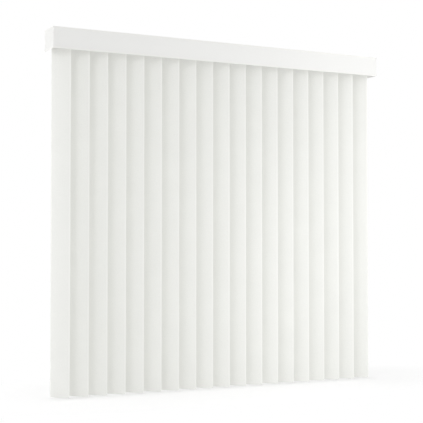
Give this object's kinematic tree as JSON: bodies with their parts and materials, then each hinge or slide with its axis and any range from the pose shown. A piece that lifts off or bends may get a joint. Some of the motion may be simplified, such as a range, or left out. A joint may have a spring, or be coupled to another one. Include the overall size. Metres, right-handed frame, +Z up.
{
  "type": "vertical blind",
  "caption": "Wall-hung vertical blind with white textured vanes on carriers in a slotted headrail, a turning tilt rod, wall brackets and a boxed valance with returns",
  "frame": {"origin": "middle of the wall brackets' screw holes, on the wall plane", "axes": "+X along the blind to the right, +Y into the wall, +Z up"},
  "size_m": [1.637, 0.1152, 1.547],
  "materials": {
    "vane_plastic": "white vinyl with a fine pebbled grain",
    "insert_plastic": "white vinyl strip, satin",
    "valance_plastic": "smooth satin white",
    "rail_paint": "white paint on aluminium",
    "cap_plastic": "moulded white",
    "carrier_plastic": "moulded natural white",
    "clip_plastic": "clear moulded",
    "bracket_steel": "white paint on steel",
    "clip_steel": "zinc plated",
    "rod_aluminium": "plain drawn"
  },
  "bodies": {
    "headrail_set": {"headrail": "rail_paint", "end_cap_left": "cap_plastic", "end_cap_right": "cap_plastic", "wall_bracket_left": "bracket_steel", "wall_bracket_middle": "bracket_steel", "wall_bracket_right": "bracket_steel", "headrail_clips": "clip_steel", "valance_front": "valance_plastic", "valance_front_insert": "insert_plastic", "valance_return_left": "valance_plastic", "valance_insert_left": "insert_plastic", "valance_return_right": "valance_plastic", "valance_insert_right": "insert_plastic", "valance_corner_keys": "clip_plastic", "valance_clips": "clip_plastic", "carrier_19": "carrier_plastic"},
    "tilt_rod": {"tilt_rod": "rod_aluminium"},
    "wand_hook": {"wand_hook": "carrier_plastic"},
    "vane_01": {"vane_01": "vane_plastic"},
    "carrier_01": {"carrier_01": "carrier_plastic"},
    "vane_02": {"vane_02": "vane_plastic"},
    "carrier_02": {"carrier_02": "carrier_plastic"},
    "vane_03": {"vane_03": "vane_plastic"},
    "carrier_03": {"carrier_03": "carrier_plastic"},
    "vane_04": {"vane_04": "vane_plastic"},
    "carrier_04": {"carrier_04": "carrier_plastic"},
    "vane_05": {"vane_05": "vane_plastic"},
    "carrier_05": {"carrier_05": "carrier_plastic"},
    "vane_06": {"vane_06": "vane_plastic"},
    "carrier_06": {"carrier_06": "carrier_plastic"},
    "vane_07": {"vane_07": "vane_plastic"},
    "carrier_07": {"carrier_07": "carrier_plastic"},
    "vane_08": {"vane_08": "vane_plastic"},
    "carrier_08": {"carrier_08": "carrier_plastic"},
    "vane_09": {"vane_09": "vane_plastic"},
    "carrier_09": {"carrier_09": "carrier_plastic"},
    "vane_10": {"vane_10": "vane_plastic"},
    "carrier_10": {"carrier_10": "carrier_plastic"},
    "vane_11": {"vane_11": "vane_plastic"},
    "carrier_11": {"carrier_11": "carrier_plastic"},
    "vane_12": {"vane_12": "vane_plastic"},
    "carrier_12": {"carrier_12": "carrier_plastic"},
    "vane_13": {"vane_13": "vane_plastic"},
    "carrier_13": {"carrier_13": "carrier_plastic"},
    "vane_14": {"vane_14": "vane_plastic"},
    "carrier_14": {"carrier_14": "carrier_plastic"},
    "vane_15": {"vane_15": "vane_plastic"},
    "carrier_15": {"carrier_15": "carrier_plastic"},
    "vane_16": {"vane_16": "vane_plastic"},
    "carrier_16": {"carrier_16": "carrier_plastic"},
    "vane_17": {"vane_17": "vane_plastic"},
    "carrier_17": {"carrier_17": "carrier_plastic"},
    "vane_18": {"vane_18": "vane_plastic"},
    "carrier_18": {"carrier_18": "carrier_plastic"},
    "vane_19": {"vane_19": "vane_plastic"}
  },
  "joints": [
    {"name": "traverse_01", "type": "slide", "parent": "headrail_set", "child": "carrier_01", "axis": [1, 0, 0], "range_m": [0, 1.224]},
    {"name": "tilt_01", "type": "hinge", "parent": "carrier_01", "child": "vane_01", "pos_m": [-0.7665, -0.06012, -0.019], "axis": [0, 0, 1], "range_deg": [-121, 31]},
    {"name": "traverse_02", "type": "slide", "parent": "headrail_set", "child": "carrier_02", "axis": [1, 0, 0], "range_m": [0, 1.156]},
    {"name": "tilt_02", "type": "hinge", "parent": "carrier_02", "child": "vane_02", "pos_m": [-0.6825, -0.06012, -0.019], "axis": [0, 0, 1], "range_deg": [-121, 31]},
    {"name": "traverse_03", "type": "slide", "parent": "headrail_set", "child": "carrier_03", "axis": [1, 0, 0], "range_m": [0, 1.088]},
    {"name": "tilt_03", "type": "hinge", "parent": "carrier_03", "child": "vane_03", "pos_m": [-0.5985, -0.06012, -0.019], "axis": [0, 0, 1], "range_deg": [-121, 31]},
    {"name": "traverse_04", "type": "slide", "parent": "headrail_set", "child": "carrier_04", "axis": [1, 0, 0], "range_m": [0, 1.02]},
    {"name": "tilt_04", "type": "hinge", "parent": "carrier_04", "child": "vane_04", "pos_m": [-0.5145, -0.06012, -0.019], "axis": [0, 0, 1], "range_deg": [-121, 31]},
    {"name": "traverse_05", "type": "slide", "parent": "headrail_set", "child": "carrier_05", "axis": [1, 0, 0], "range_m": [0, 0.952]},
    {"name": "tilt_05", "type": "hinge", "parent": "carrier_05", "child": "vane_05", "pos_m": [-0.4305, -0.06012, -0.019], "axis": [0, 0, 1], "range_deg": [-121, 31]},
    {"name": "traverse_06", "type": "slide", "parent": "headrail_set", "child": "carrier_06", "axis": [1, 0, 0], "range_m": [0, 0.884]},
    {"name": "tilt_06", "type": "hinge", "parent": "carrier_06", "child": "vane_06", "pos_m": [-0.3465, -0.06012, -0.019], "axis": [0, 0, 1], "range_deg": [-121, 31]},
    {"name": "traverse_07", "type": "slide", "parent": "headrail_set", "child": "carrier_07", "axis": [1, 0, 0], "range_m": [0, 0.816]},
    {"name": "tilt_07", "type": "hinge", "parent": "carrier_07", "child": "vane_07", "pos_m": [-0.2625, -0.06012, -0.019], "axis": [0, 0, 1], "range_deg": [-121, 31]},
    {"name": "traverse_08", "type": "slide", "parent": "headrail_set", "child": "carrier_08", "axis": [1, 0, 0], "range_m": [0, 0.748]},
    {"name": "tilt_08", "type": "hinge", "parent": "carrier_08", "child": "vane_08", "pos_m": [-0.1785, -0.06012, -0.019], "axis": [0, 0, 1], "range_deg": [-121, 31]},
    {"name": "traverse_09", "type": "slide", "parent": "headrail_set", "child": "carrier_09", "axis": [1, 0, 0], "range_m": [0, 0.68]},
    {"name": "tilt_09", "type": "hinge", "parent": "carrier_09", "child": "vane_09", "pos_m": [-0.0945, -0.06012, -0.019], "axis": [0, 0, 1], "range_deg": [-121, 31]},
    {"name": "traverse_10", "type": "slide", "parent": "headrail_set", "child": "carrier_10", "axis": [1, 0, 0], "range_m": [0, 0.612]},
    {"name": "tilt_10", "type": "hinge", "parent": "carrier_10", "child": "vane_10", "pos_m": [-0.0105, -0.06012, -0.019], "axis": [0, 0, 1], "range_deg": [-121, 31]},
    {"name": "traverse_11", "type": "slide", "parent": "headrail_set", "child": "carrier_11", "axis": [1, 0, 0], "range_m": [0, 0.544]},
    {"name": "tilt_11", "type": "hinge", "parent": "carrier_11", "child": "vane_11", "pos_m": [0.0735, -0.06012, -0.019], "axis": [0, 0, 1], "range_deg": [-121, 31]},
    {"name": "traverse_12", "type": "slide", "parent": "headrail_set", "child": "carrier_12", "axis": [1, 0, 0], "range_m": [0, 0.476]},
    {"name": "tilt_12", "type": "hinge", "parent": "carrier_12", "child": "vane_12", "pos_m": [0.1575, -0.06012, -0.019], "axis": [0, 0, 1], "range_deg": [-121, 31]},
    {"name": "traverse_13", "type": "slide", "parent": "headrail_set", "child": "carrier_13", "axis": [1, 0, 0], "range_m": [0, 0.408]},
    {"name": "tilt_13", "type": "hinge", "parent": "carrier_13", "child": "vane_13", "pos_m": [0.2415, -0.06012, -0.019], "axis": [0, 0, 1], "range_deg": [-121, 31]},
    {"name": "traverse_14", "type": "slide", "parent": "headrail_set", "child": "carrier_14", "axis": [1, 0, 0], "range_m": [0, 0.34]},
    {"name": "tilt_14", "type": "hinge", "parent": "carrier_14", "child": "vane_14", "pos_m": [0.3255, -0.06012, -0.019], "axis": [0, 0, 1], "range_deg": [-121, 31]},
    {"name": "traverse_15", "type": "slide", "parent": "headrail_set", "child": "carrier_15", "axis": [1, 0, 0], "range_m": [0, 0.272]},
    {"name": "tilt_15", "type": "hinge", "parent": "carrier_15", "child": "vane_15", "pos_m": [0.4095, -0.06012, -0.019], "axis": [0, 0, 1], "range_deg": [-121, 31]},
    {"name": "traverse_16", "type": "slide", "parent": "headrail_set", "child": "carrier_16", "axis": [1, 0, 0], "range_m": [0, 0.204]},
    {"name": "tilt_16", "type": "hinge", "parent": "carrier_16", "child": "vane_16", "pos_m": [0.4935, -0.06012, -0.019], "axis": [0, 0, 1], "range_deg": [-121, 31]},
    {"name": "traverse_17", "type": "slide", "parent": "headrail_set", "child": "carrier_17", "axis": [1, 0, 0], "range_m": [0, 0.136]},
    {"name": "tilt_17", "type": "hinge", "parent": "carrier_17", "child": "vane_17", "pos_m": [0.5775, -0.06012, -0.019], "axis": [0, 0, 1], "range_deg": [-121, 31]},
    {"name": "traverse_18", "type": "slide", "parent": "headrail_set", "child": "carrier_18", "axis": [1, 0, 0], "range_m": [0, 0.068]},
    {"name": "tilt_18", "type": "hinge", "parent": "carrier_18", "child": "vane_18", "pos_m": [0.6615, -0.06012, -0.019], "axis": [0, 0, 1], "range_deg": [-121, 31]},
    {"name": "tilt_19", "type": "hinge", "parent": "headrail_set", "child": "vane_19", "pos_m": [0.7455, -0.06012, -0.019], "axis": [0, 0, 1], "range_deg": [-121, 31]},
    {"name": "rod_turn", "type": "hinge", "parent": "headrail_set", "child": "tilt_rod", "pos_m": [0, -0.05492, 0.00198], "axis": [1, 0, 0], "range_deg": [-1452, 372]},
    {"name": "wand_turn", "type": "hinge", "parent": "carrier_01", "child": "wand_hook", "pos_m": [-0.781, -0.06012, -0.019], "axis": [0, 0, 1], "range_deg": [-1452, 372]}
  ],
  "couplings": [
    {"joint": "traverse_02", "follows": "traverse_01", "ratio": 0.94444},
    {"joint": "tilt_02", "follows": "tilt_01", "ratio": 1},
    {"joint": "traverse_03", "follows": "traverse_01", "ratio": 0.88889},
    {"joint": "tilt_03", "follows": "tilt_01", "ratio": 1},
    {"joint": "traverse_04", "follows": "traverse_01", "ratio": 0.83333},
    {"joint": "tilt_04", "follows": "tilt_01", "ratio": 1},
    {"joint": "traverse_05", "follows": "traverse_01", "ratio": 0.77778},
    {"joint": "tilt_05", "follows": "tilt_01", "ratio": 1},
    {"joint": "traverse_06", "follows": "traverse_01", "ratio": 0.72222},
    {"joint": "tilt_06", "follows": "tilt_01", "ratio": 1},
    {"joint": "traverse_07", "follows": "traverse_01", "ratio": 0.66667},
    {"joint": "tilt_07", "follows": "tilt_01", "ratio": 1},
    {"joint": "traverse_08", "follows": "traverse_01", "ratio": 0.61111},
    {"joint": "tilt_08", "follows": "tilt_01", "ratio": 1},
    {"joint": "traverse_09", "follows": "traverse_01", "ratio": 0.55556},
    {"joint": "tilt_09", "follows": "tilt_01", "ratio": 1},
    {"joint": "traverse_10", "follows": "traverse_01", "ratio": 0.5},
    {"joint": "tilt_10", "follows": "tilt_01", "ratio": 1},
    {"joint": "traverse_11", "follows": "traverse_01", "ratio": 0.44444},
    {"joint": "tilt_11", "follows": "tilt_01", "ratio": 1},
    {"joint": "traverse_12", "follows": "traverse_01", "ratio": 0.38889},
    {"joint": "tilt_12", "follows": "tilt_01", "ratio": 1},
    {"joint": "traverse_13", "follows": "traverse_01", "ratio": 0.33333},
    {"joint": "tilt_13", "follows": "tilt_01", "ratio": 1},
    {"joint": "traverse_14", "follows": "traverse_01", "ratio": 0.27778},
    {"joint": "tilt_14", "follows": "tilt_01", "ratio": 1},
    {"joint": "traverse_15", "follows": "traverse_01", "ratio": 0.22222},
    {"joint": "tilt_15", "follows": "tilt_01", "ratio": 1},
    {"joint": "traverse_16", "follows": "traverse_01", "ratio": 0.16667},
    {"joint": "tilt_16", "follows": "tilt_01", "ratio": 1},
    {"joint": "traverse_17", "follows": "traverse_01", "ratio": 0.11111},
    {"joint": "tilt_17", "follows": "tilt_01", "ratio": 1},
    {"joint": "traverse_18", "follows": "traverse_01", "ratio": 0.055556},
    {"joint": "tilt_18", "follows": "tilt_01", "ratio": 1},
    {"joint": "tilt_19", "follows": "tilt_01", "ratio": 1},
    {"joint": "rod_turn", "follows": "tilt_01", "ratio": 12},
    {"joint": "wand_turn", "follows": "tilt_01", "ratio": 12}
  ]
}
